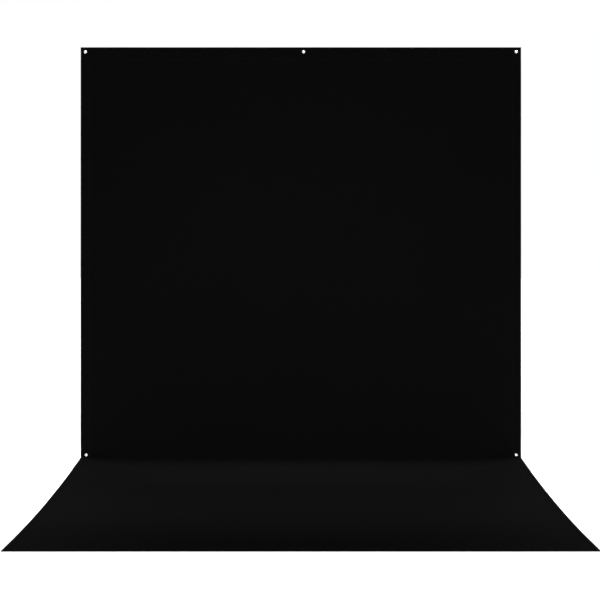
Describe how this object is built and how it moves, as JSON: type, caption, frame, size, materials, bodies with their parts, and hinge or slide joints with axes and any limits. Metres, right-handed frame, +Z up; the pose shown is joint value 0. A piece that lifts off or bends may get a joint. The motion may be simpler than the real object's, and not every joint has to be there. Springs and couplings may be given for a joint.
{
  "type": "cloth sweep backdrop",
  "caption": "Plain black cloth sweep backdrop: a flat hung panel with metal grommets that folds forward into a floor sweep.",
  "frame": {"origin": "middle of the line through the top grommets, at the front face of the cloth", "axes": "+X across the width to the viewer's right, +Z up, -Y towards the viewer"},
  "size_m": [2.4384, 1.6916, 2.3578],
  "materials": {
    "cloth": "matte black plain-woven cloth",
    "thread": "black sewing thread",
    "webbing": "black ribbed webbing",
    "grommet_metal": "bright plated metal"
  },
  "bodies": {
    "wall": {"wall_panel": "cloth", "top_hem": "cloth", "wall_hem_left": "cloth", "wall_hem_right": "cloth", "thread_top": "thread", "thread_wall_left": "thread", "thread_wall_right": "thread", "patch_top_left": "webbing", "eyelet_top_left": "grommet_metal", "washer_top_left": "grommet_metal", "patch_top_centre": "webbing", "eyelet_top_centre": "grommet_metal", "washer_top_centre": "grommet_metal", "patch_top_right": "webbing", "eyelet_top_right": "grommet_metal", "washer_top_right": "grommet_metal", "patch_fold_left": "webbing", "eyelet_fold_left": "grommet_metal", "washer_fold_left": "grommet_metal", "patch_fold_right": "webbing", "eyelet_fold_right": "grommet_metal", "washer_fold_right": "grommet_metal"},
    "sweep": {"sweep_panel": "cloth", "sweep_hem_left": "cloth", "sweep_hem_right": "cloth", "front_hem": "cloth", "thread_sweep_left": "thread", "thread_sweep_right": "thread", "thread_front": "thread"}
  },
  "joints": [
    {"name": "sweep_fold", "type": "hinge", "parent": "wall", "child": "sweep", "pos_m": [0, 0, -2.2476], "axis": [-1, 0, 0], "range_deg": [0, 80]}
  ]
}
